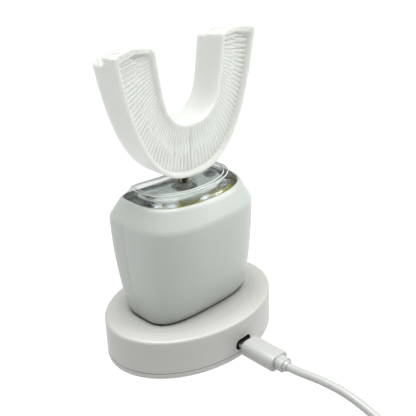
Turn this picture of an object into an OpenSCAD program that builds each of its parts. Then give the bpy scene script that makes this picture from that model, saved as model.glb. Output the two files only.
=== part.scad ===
// Automatic toothbrush with a U-shaped mouthpiece, standing on its oval charging base,
// with a detachable charging lead.
// Frame: origin at the middle of the base's underside, +Z up, -Y is the side with the charging
// socket, +Y is the side with the power button, +X is to the right when facing the socket.

/* [Charging base] */
// Full width of the base
base_w = 82; // [80:1:88]
// Full depth of the base
base_d = 61; // [60:1:66]
// Height of the base's top face
base_h = 18.6; // [18.4:0.2:20]
// Height of the parting line of the bottom cover
cover_h = 2.9; // [2.6:0.1:3.2]
// Depth of the seat that the handle stands in
seat_depth = 1.2; // [1:0.1:1.4]

/* [Handle] */
// Half width of the handle at its shoulder
shoulder_w = 29.7; // [29:0.1:30.5]
// Height of the shoulder
shoulder_z = 63.1; // [62:0.1:64]
// Height of the rim that the clear cover sits in
rim_z = 71.3; // [71:0.1:72]
// Height of the clear cover's raised rim
clear_z = 75.2; // [75:0.1:76]
// Height of the clear cover's sunken middle
top_z = 72.8; // [72.6:0.1:73]
// Wall of the handle's shells
wall = 1.8; // [1.6:0.1:2]
// Radius of the power button
button_r = 5.5; // [5:0.1:6]

/* [Mouthpiece] */
// Depth of the mouthpiece from its front lips to its rear lips
tray_d = 15; // [14:0.2:15.6]
// Height of the lowest point of the mouthpiece
tray_z = 78.5; // [78.4:0.1:79]
// Height of the side corners of the mouthpiece's front legs
leg_z = 132.5; // [131:0.5:134]
// How much lower its rear legs end
rear_short = 3; // [2:0.5:4]
// Thickness of the mouthpiece's walls
tray_wall = 1.8; // [1.6:0.1:2]
// Thickness of the web between the front and rear troughs
web = 3.2; // [3:0.1:3.6]

/* [Charging lead] */
// Diameter of the cord
cord_d = 3.5; // [3.4:0.1:3.6]
// Height of the charging plug's axis
plug_z = 6.6; // [6.6:0.1:6.8]
// Sideways place of the charging plug's axis
plug_x = 3; // [2.5:0.5:3.5]

/* [Hidden] */
$fn = 64;
eps = 0.01;

// ---- levels, all heights above the surface ----
foot_t = 0.4;            // how far the rubber feet stand proud
top_t = 1.6;             // skin under the handle's seat
dish_depth = 0.4;        // shallow dish around the seat
seat_z = base_h - dish_depth - seat_depth;
seat_gap = 0.1;          // between the seat's floor and the handle
handle_z = seat_z + seat_gap;
base_wall = 2;
edge_r = 1.3;            // rounding of the base's top edge
skin_z = seat_z - top_t; // underside of the skin under the seat
board_t = 1.2;
socket_h = 2.9;
board_z = plug_z - socket_h / 2 - board_t;

// ---- colours ----
white_satin = "#eceeea";
base_white = "#e9e9e4";
milky = [0.93, 0.95, 0.94, 0.75];
clear_tint = [0.9, 0.93, 0.94, 0.35];
steel = "#9da1a5";
dark_metal = "#3a3a38";
brass_gold = "#b5a063";
copper = "#b87345";
ferrite_grey = "#3d3d40";
board_green = "#4f6b2e";
rubber_grey = "#8a8c8c";

// ================= shared shapes =================

// points of an ellipse with half sizes a and b
function ellipse(a, b, count = 72) = [for (i = [0:count - 1]) [a * cos(360 * i / count), b * sin(360 * i / count)]];

function power(v, e) = sign(v) * pow(abs(v), e);

// The handle's plan is a rounded box, bent so that its ends sweep back:
// s = [half width, front depth, back depth, bend, squareness].
function plan_point(s, a) =
    let (
        x = s[0] * power(cos(a), 2 / s[4]),
        reach = sin(a) < 0 ? s[1] : s[2]
    )
    [x, reach * power(sin(a), 2 / s[4]) + s[3] * pow(x / s[0], 2)];
function plan(s, from = 0, to = 355, step = 5) = [for (a = [from:step:to]) plan_point(s, a)];
function shrink(s, by) = [s[0] - by, s[1] - by, s[2] - by, s[3], s[4]];
function mix(s, t, k) = [for (i = [0:4]) s[i] * (1 - k) + t[i] * k];
function lift(points, z) = [for (p = points) [p[0], p[1], z]];

// closed solid through rings of equal point counts, listed upwards
module loft(rings) {
    n = len(rings[0]);
    last = len(rings) - 1;
    polyhedron(
        points = [for (ring = rings) each ring],
        faces = concat(
            [[for (i = [0:n - 1]) i]],
            [for (k = [0:last - 1]) for (i = [0:n - 1]) each
                let (j = (i + 1) % n, a = k * n)
                [[a + i, a + n + i, a + n + j], [a + i, a + n + j, a + j]]],
            [[for (i = [n - 1:-1:0]) last * n + i]]));
}

// closed wall between an outer and an inner grid of points, each listed upwards in rows
module wall_patch(outer, inner) {
    m = len(outer[0]);
    rows = len(outer);
    in = m * rows;
    top = (rows - 1) * m;
    polyhedron(
        points = concat([for (row = outer) each row], [for (row = inner) each row]),
        faces = concat(
            [for (k = [0:rows - 2]) for (i = [0:m - 2]) each let (o = k * m + i, n = in + o)
                [[o, o + m, o + m + 1], [o, o + m + 1, o + 1],
                 [n, n + m + 1, n + m], [n, n + 1, n + m + 1]]],
            [for (i = [0:m - 2]) each let (o = i, n = in + i)
                [[o, o + 1, n + 1], [o, n + 1, n]]],
            [for (i = [0:m - 2]) each let (o = top + i, n = in + top + i)
                [[o + 1, o, n], [o + 1, n, n + 1]]],
            [for (k = [0:rows - 2]) each let (o = k * m, n = in + k * m)
                [[o + m, o, n], [o + m, n, n + m]]],
            [for (k = [0:rows - 2]) each let (o = k * m + m - 1, n = in + k * m + m - 1)
                [[o, o + m, n + m], [o, n + m, n]]]));
}

module ring(outer_r, inner_r, z, h) {
    translate([0, 0, z])
    difference() {
        cylinder(r = outer_r, h = h);
        translate([0, 0, -eps]) cylinder(r = inner_r, h = h + 2 * eps);
    }
}

// a slab whose outline is the handle's plan
module plan_slab(s, z, h) translate([0, 0, z]) linear_extrude(h) polygon(plan(s));

// a bar along -Y with a rounded-rectangle section, from y0 to y1 (both counted towards -Y)
module rounded_bar(w, h, r, y0, y1) {
    translate([0, -y0, 0])
    rotate([90, 0, 0])
    linear_extrude(y1 - y0) {
        square([w - 2 * r, h], center = true);
        square([w, h - 2 * r], center = true);
        for (x = [-1, 1], z = [-1, 1])
            translate([x * (w / 2 - r), z * (h / 2 - r)]) circle(r = r, $fn = 24);
    }
}

// ================= charging base =================

base_screw_places = [[24, 13], [-24, 13], [-24, -13], [24, -13]];
port_w = 9.2;
port_h = 5.2;
seat_plan = [26, 13.4, 13.4, 0.6, 3.6];

module base_top_shell() {
    color(base_white)
    difference() {
        loft(concat(
            [lift(ellipse(base_w / 2, base_d / 2), cover_h + 0.1)],
            [for (a = [0:22.5:90]) lift(
                ellipse(base_w / 2 - edge_r * (1 - cos(a)), base_d / 2 - edge_r * (1 - cos(a))),
                base_h - edge_r * (1 - sin(a)))]));
        // inside, under the skin, with four screw posts left standing
        difference() {
            translate([0, 0, -1])
            linear_extrude(skin_z + 1) polygon(ellipse(base_w / 2 - base_wall, base_d / 2 - base_wall));
            for (p = base_screw_places) translate([p[0], p[1], cover_h + 1.6]) cylinder(r = 2.6, h = base_h);
        }
        for (p = base_screw_places) translate([p[0], p[1], -1]) cylinder(r = 0.9, h = 1 + 11);
        // shallow dish and the seat of the handle
        translate([0, 0, base_h - dish_depth]) linear_extrude(1) polygon(ellipse(33.5, 22.5));
        plan_slab(seat_plan, seat_z, 3);
        // opening for the charging plug
        translate([plug_x, 0, plug_z]) rounded_bar(port_w, port_h, 2.3, base_d / 2 - 4, base_d / 2 + 4);
    }
}

module base_bottom_cover() {
    lip_h = 1.4;
    color(base_white)
    difference() {
        union() {
            loft([
                lift(ellipse(base_w / 2 - 0.8, base_d / 2 - 0.8), foot_t),
                lift(ellipse(base_w / 2 - 0.2, base_d / 2 - 0.2), foot_t + 0.6),
                lift(ellipse(base_w / 2, base_d / 2), foot_t + 1.2),
                lift(ellipse(base_w / 2, base_d / 2), cover_h)]);
            // locating lip inside the top shell's wall, cut away at the plug
            translate([0, 0, cover_h - eps])
            linear_extrude(lip_h)
            difference() {
                polygon(ellipse(base_w / 2 - base_wall - 0.2, base_d / 2 - base_wall - 0.2));
                polygon(ellipse(base_w / 2 - base_wall - 1.2, base_d / 2 - base_wall - 1.2));
                translate([plug_x, -base_d / 2]) square([16, 12], center = true);
            }
            for (x = [-16, 16], y = [-7, 7]) translate([x, y, cover_h - eps]) cylinder(r = 1.8, h = board_z - cover_h + eps);
        }
        for (p = base_screw_places) {
            translate([p[0], p[1], foot_t - eps]) cylinder(r = 1.25, h = 5);
            translate([p[0], p[1], foot_t - eps]) cylinder(r = 2.3, h = 1.2 + eps);
        }
    }
}

foot_places = [[31, 0], [-31, 0], [0, 24], [0, -24]];
module base_feet() {
    color(rubber_grey)
    for (p = foot_places) translate([p[0], p[1], 0]) cylinder(r = 3.5, h = foot_t);
}

module base_screws() {
    color(steel)
    for (p = base_screw_places) translate([p[0], p[1], 0]) {
        translate([0, 0, foot_t + 0.1]) cylinder(r = 2.1, h = 1.1);
        translate([0, 0, foot_t + 1.2 - eps]) cylinder(r = 0.9, h = 8.6);
    }
}

module base_circuit_board() {
    color(board_green)
    translate([0, 0, board_z])
    linear_extrude(board_t)
    difference() {
        intersection() {
            translate([-19, -(base_d / 2 - 5.5)]) square([38, 34.5]);
            polygon(ellipse(base_w / 2 - 4.5, base_d / 2 - 4));
        }
        for (p = base_screw_places) translate(p) circle(r = 3);
    }
}

module transmit_coil() color(copper) ring(18.5, 7.5, skin_z - 1.3, 1.3);
module base_ferrite_disc() color(ferrite_grey) ring(20, 3, skin_z - 2.3, 1);

socket_w = 7.6;
socket_depth = 5.8;
socket_face_y = base_d / 2 - 2.4;
tip_w = 6.85;
tip_h = 1.8;
module charging_socket() {
    color(steel)
    translate([plug_x, 0, plug_z])
    difference() {
        rounded_bar(socket_w, socket_h, 0.8, socket_face_y - socket_depth, socket_face_y);
        rounded_bar(tip_w + 0.1, tip_h + 0.1, 0.5, socket_face_y - socket_depth + 0.5, socket_face_y + 1);
    }
}

// ================= handle =================

handle_foot = [27.3, 14.4, 14.4, 0.6, 3.6];
handle_shoulder = [shoulder_w, 21.6, 17.9, 4.3, 3.9];
handle_rim = [25.9, 18.2, 11.6, 4.8, 3.7];
clear_foot = shrink(handle_rim, 1);
clear_top = [22.2, 13.4, 8.4, 4.6, 3.5];
corner_h = 7;   // height of the rounding at the handle's lower edge
corner_in = 3.6; // how far that rounding draws in
crease_r = 0.8;
lodge = 1.5;     // how deep the clear cover sits in the rim
lip_t = 0.6;     // wall left outside the cover's gasket

// outline of the handle at a height
function rounding(z) = z - handle_z > corner_h ? 0
    : corner_in * (1 - sqrt(1 - pow(1 - (z - handle_z) / corner_h, 2)));
function handle_section(z) = z > shoulder_z
    ? mix(handle_shoulder, handle_rim, (z - shoulder_z) / (rim_z - shoulder_z))
    : shrink(mix(handle_shoulder, handle_foot, pow((shoulder_z - z) / (shoulder_z - handle_z), 2)), rounding(z));

body_rows = concat(
    [for (k = [0:6]) handle_z + corner_h * (1 - cos(15 * k))],
    [for (z = [32:8:shoulder_z - 5]) z],
    [shoulder_z - crease_r, shoulder_z + crease_r]);
step_z = rim_z - lodge;

// a shell between two angles of the plan, with a step inside its rim for the clear cover
module shell(from, to) {
    rim_lip = plan(shrink(handle_rim, lip_t), from, to);
    wall_patch(
        [for (z = concat(body_rows, [step_z - 0.4, step_z, rim_z])) lift(plan(handle_section(z), from, to), z)],
        concat(
            [for (z = concat(body_rows, [step_z])) lift(plan(shrink(handle_section(z), wall), from, to), z)],
            [lift(rim_lip, step_z), lift(rim_lip, rim_z)]));
}

module front_shell() color(white_satin) shell(180, 360);

button_z = 46;
button_travel = 0.8;
button_face = handle_section(button_z)[2] + 0.3;
button_hole_r = button_r + 0.3;
module rear_shell() {
    color(white_satin)
    difference() {
        shell(0, 180);
        translate([0, 0, button_z]) rotate([-90, 0, 0]) cylinder(r = button_hole_r, h = 30);
    }
}

cap_plan = shrink(handle_section(handle_z), wall + 0.6);
module bottom_cap() color(white_satin) plan_slab(cap_plan, handle_z, 1.4);

module bottom_seal() {
    color(rubber_grey)
    translate([0, 0, handle_z])
    linear_extrude(1.2)
    difference() {
        polygon(plan(shrink(cap_plan, -0.5)));
        polygon(plan(shrink(cap_plan, 0)));
    }
}

module receive_coil() color(copper) ring(10, 4, handle_z + 1.4, 1.1);
module handle_ferrite_disc() color(ferrite_grey) ring(10.5, 2, handle_z + 2.5, 0.8);

cover_screw_x = 16;
cover_screw_y = 1.5;
screw_r = 0.95;
screw_deep = 3;
boss_r = 5.2;
shaft_r = 1.5;
plate_z = 66;
plate_t = 1.6;
module clear_top_cover() {
    color(clear_tint)
    difference() {
        union() {
            loft([
                lift(plan(clear_foot), rim_z - lodge),
                lift(plan(mix(clear_foot, clear_top, 0.15)), rim_z + 0.6),
                lift(plan(mix(clear_foot, clear_top, 0.85)), clear_z - 0.8),
                lift(plan(clear_top), clear_z - 0.2),
                lift(plan(shrink(clear_top, 0.5)), clear_z)]);
        }
        difference() {
            loft([
                lift(plan(shrink(clear_foot, 1.6)), rim_z - 2),
                lift(plan(shrink(clear_foot, 1.6)), rim_z - 0.4),
                lift(plan(shrink(clear_foot, 2.2)), top_z - 1.3)]);
            cylinder(r = boss_r, h = 100);
            for (x = [-1, 1]) translate([x * cover_screw_x, cover_screw_y, 0]) cylinder(r = 2.6, h = 100);
        }
        // sunken middle, with the shaft's boss left standing
        difference() {
            plan_slab(shrink(clear_top, 2.2), top_z, 4);
            cylinder(r = boss_r, h = top_z + 0.8);
        }
        cylinder(r = 3.4, h = 100);
        for (x = [-1, 1]) translate([x * cover_screw_x, cover_screw_y, 0]) {
            cylinder(r = 1.15, h = 100);
            translate([0, 0, top_z - 1.2]) cylinder(r = 2.1, h = 5);
        }
    }
}

module cover_gasket() {
    color("#d9dbd8")
    translate([0, 0, rim_z - lodge])
    linear_extrude(lodge + 0.2)
    difference() {
        polygon(plan(shrink(handle_rim, lip_t)));
        polygon(plan(shrink(clear_foot, -0.05)));
    }
}

module cover_screws() {
    color(steel)
    for (x = [-1, 1]) translate([x * cover_screw_x, cover_screw_y, 0]) {
        translate([0, 0, plate_z - screw_deep]) cylinder(r = screw_r, h = top_z - 1.2 - plate_z + screw_deep + eps);
        difference() {
            translate([0, 0, top_z - 1.2]) cylinder(r = 1.9, h = 1);
            translate([0, 0, top_z - 0.7]) cylinder(r = 0.8, h = 2, $fn = 6);
        }
    }
}

// pale plate right under the cover's sunken middle
module deck_plate() {
    deck_t = 0.6;
    color("#cfd4d1")
    difference() {
        plan_slab(shrink(clear_top, 2.6), top_z - 1.3 - deck_t, deck_t);
        cylinder(r = boss_r + 0.3, h = 100);
        for (x = [-1, 1]) translate([x * cover_screw_x, cover_screw_y, 0]) cylinder(r = 2.9, h = 100);
    }
}

module motor_plate() {
    color(steel)
    difference() {
        plan_slab(shrink(handle_section(plate_z + plate_t), wall + 0.5), plate_z, plate_t);
        translate([0, 0, plate_z - 1]) cylinder(r = 4.2, h = 5);
        for (x = [-1, 1]) translate([x * cover_screw_x, cover_screw_y, plate_z - 1]) cylinder(r = 1.15, h = 5);
    }
}

led_z = plate_z + plate_t;
led_board_t = 1;
led_angles = [210, 235, 270, 305, 330];
function led_place(a) = plan_point(shrink(clear_foot, 5.2), a);
module led_board() {
    color("#8f8a3c")
    translate([0, 0, led_z])
    linear_extrude(led_board_t)
    difference() {
        polygon(plan(shrink(clear_foot, 2.4)));
        circle(r = 7);
        translate([-40, -1.5]) square([80, 40]);
    }
}

module led_row(numbers) {
    for (i = numbers) let (p = led_place(led_angles[i]))
        translate([p[0] - 1.7, p[1] - 1, led_z + led_board_t]) cube([3.4, 2, 1.2]);
}
module white_leds() color("#e8ecf4") led_row([0, 2, 4]);
module blue_leds() color("#7d9fd8") led_row([1, 3]);

// a fan-shaped clear lens that spreads the light upwards, behind the front of the cover
module light_guide() {
    color(clear_tint)
    translate([-7.5, -10.2, led_z + led_board_t])
    linear_extrude(2)
    polygon([for (a = [200:20:340]) [4.2 * cos(a), 2.2 * sin(a)], [1.2, 1.4], [-1.2, 1.4]]);
}

battery_r = 7.1;
battery_x = -17;
battery_z = 25.6;
battery_h = 36;
motor_r = 9;
motor_z = 30;
motor_top = plate_z;
can_wall = 0.8;
module motor_can() {
    color(steel)
    difference() {
        union() {
            translate([0, 0, motor_z]) cylinder(r = motor_r, h = motor_top - motor_z);
            translate([0, 0, motor_top - eps]) cylinder(r = 4, h = plate_t + eps);
        }
        translate([0, 0, motor_z + 3]) cylinder(r = motor_r - can_wall, h = motor_top - motor_z - 6);
        translate([0, 0, motor_z + 1]) cylinder(r = shaft_r + 0.05, h = 60);
    }
}

module battery() {
    color("#4a6fa5")
    translate([battery_x, 0, battery_z]) {
        cylinder(r = battery_r, h = battery_h);
        translate([0, 0, battery_h - eps]) cylinder(r = 2.4, h = 0.8);
    }
}

// frame that holds the battery, the motor and the board, with pillars for the cover screws
module chassis() {
    lower_z = 22.4;
    bridge_z = battery_z + battery_h + 1;
    floor_plan = shrink(handle_section(lower_z), wall + 0.8);
    color("#d6d8d6")
    difference() {
        union() {
            plan_slab(floor_plan, lower_z, 2);
            translate([0, 0, lower_z]) cylinder(r = motor_r + 1.2, h = motor_z - lower_z + 5);
            translate([battery_x, 0, lower_z]) cylinder(r = battery_r + 1.2, h = 7);
            translate([13, -2, lower_z]) cube([4, 6, plate_z - lower_z]);
            // bridge across the motor with a pillar under each cover screw
            translate([0, 0, bridge_z]) cylinder(r = motor_r + 1.2, h = plate_z - bridge_z);
            for (x = [-1, 1]) translate([x * cover_screw_x, cover_screw_y, bridge_z])
                cylinder(r = 2.4, h = plate_z - bridge_z);
            translate([-cover_screw_x, cover_screw_y - 1, bridge_z]) cube([2 * cover_screw_x, 2, plate_z - bridge_z]);
        }
        translate([0, 0, motor_z]) cylinder(r = motor_r + 0.05, h = 60);
        translate([battery_x, 0, battery_z]) cylinder(r = battery_r + 0.05, h = battery_h + 0.9);
        translate([0, 0, lower_z - 1]) cylinder(r = 5, h = 20);
        for (x = [-1, 1]) translate([x * cover_screw_x, cover_screw_y, plate_z - screw_deep - 0.2])
            cylinder(r = screw_r, h = screw_deep + 1);
    }
}

board_y = 10.3;
main_board_t = 0.8;
module main_circuit_board() {
    color(board_green) translate([-9, board_y, 27]) cube([20, main_board_t, 35]);
}

switch_h = 1;
actuator_h = 0.4;
module button_switch() {
    color(dark_metal)
    translate([0, board_y + main_board_t, button_z]) {
        translate([-3, 0, -3]) cube([6, switch_h - actuator_h, 6]);
        translate([0, switch_h - actuator_h - eps, 0]) rotate([-90, 0, 0]) cylinder(r = 1.6, h = actuator_h + eps);
    }
}

stem_y = board_y + main_board_t + switch_h + button_travel + 0.1;
flange_y = button_face - wall - 2;
flange_t = 1;
flange_out = 0.9;
bevel = 0.5;
module power_button() {
    color("#dfe2df")
    translate([0, 0, button_z])
    rotate([-90, 0, 0]) {
        translate([0, 0, flange_y]) cylinder(r = button_r + flange_out, h = flange_t);
        translate([0, 0, flange_y]) cylinder(r = button_r, h = button_face - flange_y - bevel);
        translate([0, 0, button_face - bevel - eps]) cylinder(r1 = button_r, r2 = button_r - bevel, h = bevel);
    }
}
module button_stem() {
    color(rubber_grey)
    translate([0, 0, button_z])
    rotate([-90, 0, 0]) translate([0, 0, stem_y]) cylinder(r = 2, h = flange_y - stem_y);
}

bush_r = 3.4;
module shaft_bush() {
    color(brass_gold)
    ring(bush_r, shaft_r + 0.04, plate_z + plate_t + 0.2, top_z - 2 - plate_z - plate_t);
}
module shaft_seal() {
    color(rubber_grey)
    ring(bush_r, shaft_r + 0.06, top_z - 1.6, 2.2);
}

// ================= drive =================

rotor_z = motor_z + 5;
module motor_rotor() {
    color(dark_metal)
    ring(motor_r - can_wall - 0.5, shaft_r, rotor_z, motor_top - 5 - rotor_z);
}
shaft_top = 85;
module drive_shaft() {
    color(steel)
    difference() {
        translate([0, 0, motor_z + 1.2]) cylinder(r = shaft_r, h = shaft_top - motor_z - 1.2);
        // flat that keys the mouthpiece
        translate([1, -5, tray_z + 1]) cube([5, 10, 30]);
    }
}
collar_z = top_z + 1;
module shaft_collar() color(dark_metal) ring(2.2, shaft_r, collar_z, tray_z - 0.5 - collar_z);

// ================= mouthpiece =================

insert_r = 2.9;
insert_top = 86;

// half width of a U-shaped curve at height h above its lowest point:
// u = [half width, height of the round part, lean of the legs, lowest point]
u_fullness = 2.7; // 2 is an ellipse, more is fuller at the corners
function u_half(u, z) = let (h = z - u[3])
    u[0] * pow(max(0, 1 - pow(1 - min(h / u[1], 1), u_fullness)), 1 / u_fullness) + u[2] * h;
outer_u = [25.7, 50, 0.194, tray_z];
inner_u = [12.5, 17.2, 0.149, 101];
function u_points(u, count = 24) = [for (k = [-count:count]) let (
        z = u[3] + (leg_z - u[3]) * pow(abs(k) / count, 2.4))
    [sign(k) * u_half(u, z), z]];
// points moved square to the curve, outwards when by > 0
function u_shift(points, by) = [for (i = [0:len(points) - 1]) let (
        a = points[max(i - 1, 0)],
        b = points[min(i + 1, len(points) - 1)],
        d = norm(b - a))
    [points[i][0] + by * (b[1] - a[1]) / d, points[i][1] - by * (b[0] - a[0]) / d]];
function arch(from, to, rise, count = 8) = [for (k = [1:count - 1]) let (t = k / count)
    [from[0] + (to[0] - from[0]) * t, from[1] + (to[1] - from[1]) * t + rise * 4 * t * (1 - t)]];
function backwards(list) = [for (i = [len(list) - 1:-1:0]) list[i]];

leg_rise = 2.6;
end_wall = 2.4;

// a U outline between two curves, closed with arched leg ends
module u_outline(outer, inner, rise) {
    no = len(outer) - 1;
    ni = len(inner) - 1;
    polygon(concat(
        outer,
        arch(outer[no], inner[ni], rise),
        backwards(inner),
        arch(inner[0], outer[0], rise)));
}
module trough_outline(top) {
    outer = [for (p = u_shift(u_points(outer_u), -tray_wall)) if (p[1] < top) p];
    inner = [for (p = u_shift(u_points(inner_u), tray_wall)) if (p[1] < top) p];
    u_outline(outer, inner, leg_rise);
}
// the space above the legs' arched ends
module above_legs(outer, inner, rise) {
    o = outer[len(outer) - 1];
    i = inner[len(inner) - 1];
    edge = concat([o + [4, 12], o + [4, 0], o], arch(o, i, rise), [i, i - [4, 0], i + [-4, 12]]);
    for (side = [-1, 1]) polygon([for (p = edge) [side * p[0], p[1]]]);
}
module upright(y, depth) translate([0, y, 0]) rotate([90, 0, 0]) linear_extrude(depth) children();

module mouthpiece_tray() {
    trough = (tray_d - web) / 2;
    color(milky)
    difference() {
        union() {
            difference() {
                upright(tray_d / 2, tray_d) u_outline(u_points(outer_u), u_points(inner_u), leg_rise);
                upright(-web / 2, trough + 1) trough_outline(leg_z - end_wall);
                upright(tray_d / 2 + 1, trough + 1) trough_outline(leg_z - rear_short - end_wall);
                translate([0, 0, -rear_short])
                upright(tray_d / 2 + 1, trough + 1) above_legs(u_points(outer_u), u_points(inner_u), leg_rise);
            }
            // boss around the drive shaft's insert
            translate([0, 0, tray_z + 1]) cylinder(r = 4.6, h = insert_top + 1 - tray_z);
        }
        translate([0, 0, tray_z - 1]) cylinder(r = insert_r, h = insert_top + 1 - tray_z);
        // drain hole through the web
        translate([0, 10, insert_top + 3.6]) rotate([90, 0, 0]) cylinder(r = 1.3, h = 20);
    }
}

module shaft_insert() {
    color(brass_gold)
    difference() {
        translate([0, 0, tray_z - 0.3]) cylinder(r = insert_r, h = insert_top - tray_z + 0.3);
        difference() {
            translate([0, 0, tray_z - 1]) cylinder(r = shaft_r + 0.06, h = shaft_top + 0.3 - tray_z + 1);
            translate([1.06, -5, tray_z + 1]) cube([5, 10, 30]);
        }
    }
}

// ================= charging lead =================

tip_start = socket_face_y - socket_depth + 0.8;
mould_start = base_d / 2 + 3;
mould_end = mould_start + 17;
relief_end = mould_end + 5;
module plug_tip() {
    color(steel)
    translate([plug_x, 0, plug_z])
    difference() {
        rounded_bar(tip_w, tip_h, 0.45, tip_start, mould_start);
        rounded_bar(tip_w - 0.6, tip_h - 0.9, 0.3, tip_start - 1, mould_start - 3);
    }
}

module plug_overmould() {
    color("#f1f2f0")
    translate([plug_x, 0, plug_z])
    difference() {
        rounded_bar(10.4, 7.2, 3, mould_start, mould_end);
        rounded_bar(20, 20, 1, mould_end - 1.2, mould_end + 1);
    }
    color("#f1f2f0") translate([plug_x, 0, plug_z]) rounded_bar(9.2, 6.2, 2.6, mould_end - 1.2 - eps, mould_end);
}

module plug_strain_relief() {
    color("#f1f2f0")
    translate([plug_x, 0, plug_z]) {
        rounded_bar(6.8, 5.6, 2.4, mould_end, mould_end + 3.6);
        translate([0, -mould_end - 3.6 + eps, 0]) rotate([90, 0, 0]) cylinder(r1 = 2.6, r2 = 2.2, h = relief_end - mould_end - 3.6);
    }
}

cord_r = cord_d / 2;
coil_mid_r = 18;
coil_centre = [-17.5, -122];
coil_rows = 3;
coil_half = 3.5;
// where the supply plug's strain relief meets the cord's tail
supply_x = -33;
supply_y = -141.75;
supply_z = 4.2;

// the lead from the plug to the coil, hand-laid, ending on the coil's outer turn
lead_route = [
    [plug_x, -relief_end, plug_z], [3.1, -58.5, 6.65], [3.3, -62, 6.9], [3.6, -65, 7.1], [4, -68, 7.25],
    [4.4, -71, 7.3], [4.7, -74, 7.25], [5, -77, 7.1], [5.2, -80, 6.9], [5.3, -84, 6.45], [5.3, -89, 5.6],
    [5, -94, 4.6], [4.5, -99, 3.6], [3.9, -104, 2.7], [3.1, -109, 2.1], [2.6, -114, 1.85],
    [2.3, -118, 1.8], [2.25, -122, 1.8]
];
// the short tail from the coil to the supply plug
tail_route = [
    [-17.5, -141.75, 5.3], [-20, -141.75, 5.25], [-23, -141.75, 5], [-26, -141.75, 4.6],
    [-29, -141.75, 4.3], [supply_x, supply_y, supply_z]
];

// a tube of eight sides along a route, its rings square to the route
function unit(v) = v / norm(v);
function heading(route, i) = unit(route[min(i + 1, len(route) - 1)] - route[max(i - 1, 0)]);
function tube_ring(route, i, r) = let (
        d = heading(route, i),
        side = unit(cross(d, [0, 0, 1])),
        rise = cross(side, d))
    [for (k = [0:7]) route[i] + r * (cos(45 * k) * side + sin(45 * k) * rise)];
module tube(route, r) {
    n = 8;
    last = len(route) - 1;
    polyhedron(
        points = [for (i = [0:last]) each tube_ring(route, i, r)],
        faces = concat(
            [[for (k = [n - 1:-1:0]) k]],
            [for (i = [0:last - 1]) for (k = [0:n - 1]) each let (a = i * n, j = (k + 1) % n)
                [[a + k, a + n + j, a + n + k], [a + k, a + j, a + n + j]]],
            [[for (k = [0:n - 1]) last * n + k]]));
}
module cord_tube() color("#f1f2f0") tube(lead_route, cord_r);
module cord_tail() color("#f1f2f0") tube(tail_route, cord_r);

module cord_coil() {
    h = coil_rows * cord_d;
    color("#f1f2f0")
    translate([coil_centre[0], coil_centre[1], 0])
    rotate_extrude()
    translate([coil_mid_r, h / 2]) {
        square([2 * coil_half, h - 2], center = true);
        square([2 * coil_half - 2, h], center = true);
        for (x = [-1, 1], z = [-1, 1]) translate([x * (coil_half - 1), z * (h / 2 - 1)]) circle(r = 1);
    }
}

module cord_tie() {
    h = coil_rows * cord_d;
    tie_t = 0.8;
    tie_w = 4;
    color("#e4e5e3")
    translate([coil_centre[0] - coil_mid_r, coil_centre[1], 0])
    rotate([90, 0, 0])
    translate([0, 0, -tie_w / 2])
    linear_extrude(tie_w)
    difference() {
        translate([-coil_half - tie_t, 0]) square([2 * coil_half + 2 * tie_t, h + tie_t]);
        translate([-coil_half, -1]) square([2 * coil_half, h + 1]);
    }
}

module along_minus_x() translate([supply_x, supply_y, supply_z]) rotate([0, 0, -90]) children();
module supply_plug_overmould() {
    color("#f1f2f0")
    along_minus_x() {
        rounded_bar(6.4, 5.4, 2.4, 0, 6);
        rounded_bar(15.6, 8, 2.6, 6 - eps, 28);
    }
}
module supply_plug_shell() {
    color(steel)
    along_minus_x()
    difference() {
        rounded_bar(12, 4.5, 0.4, 28, 46.6);
        rounded_bar(11.2, 3.7, 0.2, 32, 50);
    }
}

base_top_shell();
base_bottom_cover();
base_feet();
base_screws();
base_circuit_board();
base_ferrite_disc();
transmit_coil();
charging_socket();
front_shell();
rear_shell();
bottom_cap();
bottom_seal();
clear_top_cover();
cover_gasket();
cover_screws();
deck_plate();
motor_plate();
led_board();
white_leds();
blue_leds();
light_guide();
chassis();
motor_can();
battery();
main_circuit_board();
button_switch();
receive_coil();
handle_ferrite_disc();
shaft_bush();
shaft_seal();
power_button();
button_stem();
motor_rotor();
drive_shaft();
shaft_collar();
mouthpiece_tray();
shaft_insert();
plug_tip();
plug_overmould();
plug_strain_relief();
cord_tube();
cord_coil();
cord_tail();
cord_tie();
supply_plug_overmould();
supply_plug_shell();
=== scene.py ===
"""An automatic toothbrush with a U-shaped mouthpiece on its oval charging base.

Lengths here are in millimetres and become metres when a mesh is made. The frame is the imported
model's: origin under the middle of the base, +Z up, -Y the side with the charging socket.
"""
import math
import random

import bmesh
import bpy
from mathutils import Matrix, Vector


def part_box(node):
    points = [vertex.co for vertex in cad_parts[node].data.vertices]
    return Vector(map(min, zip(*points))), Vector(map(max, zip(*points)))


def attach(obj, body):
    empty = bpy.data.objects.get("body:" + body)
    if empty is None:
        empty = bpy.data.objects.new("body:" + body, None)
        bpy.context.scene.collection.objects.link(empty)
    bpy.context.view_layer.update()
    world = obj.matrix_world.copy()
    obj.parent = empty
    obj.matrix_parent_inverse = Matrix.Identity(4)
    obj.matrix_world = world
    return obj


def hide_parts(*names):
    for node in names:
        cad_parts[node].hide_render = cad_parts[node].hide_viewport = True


MM = 0.001
TAU = 2 * math.pi

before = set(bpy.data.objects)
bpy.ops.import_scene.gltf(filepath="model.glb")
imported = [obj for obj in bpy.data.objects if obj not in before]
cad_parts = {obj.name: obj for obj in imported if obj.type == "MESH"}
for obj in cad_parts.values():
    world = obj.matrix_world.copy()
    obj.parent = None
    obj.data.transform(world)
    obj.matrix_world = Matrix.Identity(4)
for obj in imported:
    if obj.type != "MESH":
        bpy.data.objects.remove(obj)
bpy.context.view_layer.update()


def cad(node):
    """Lowest and highest corner of a CAD node, in millimetres."""
    low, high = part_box(node)
    return low / MM, high / MM


# ---------------------------------------------------------------- camera

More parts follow.
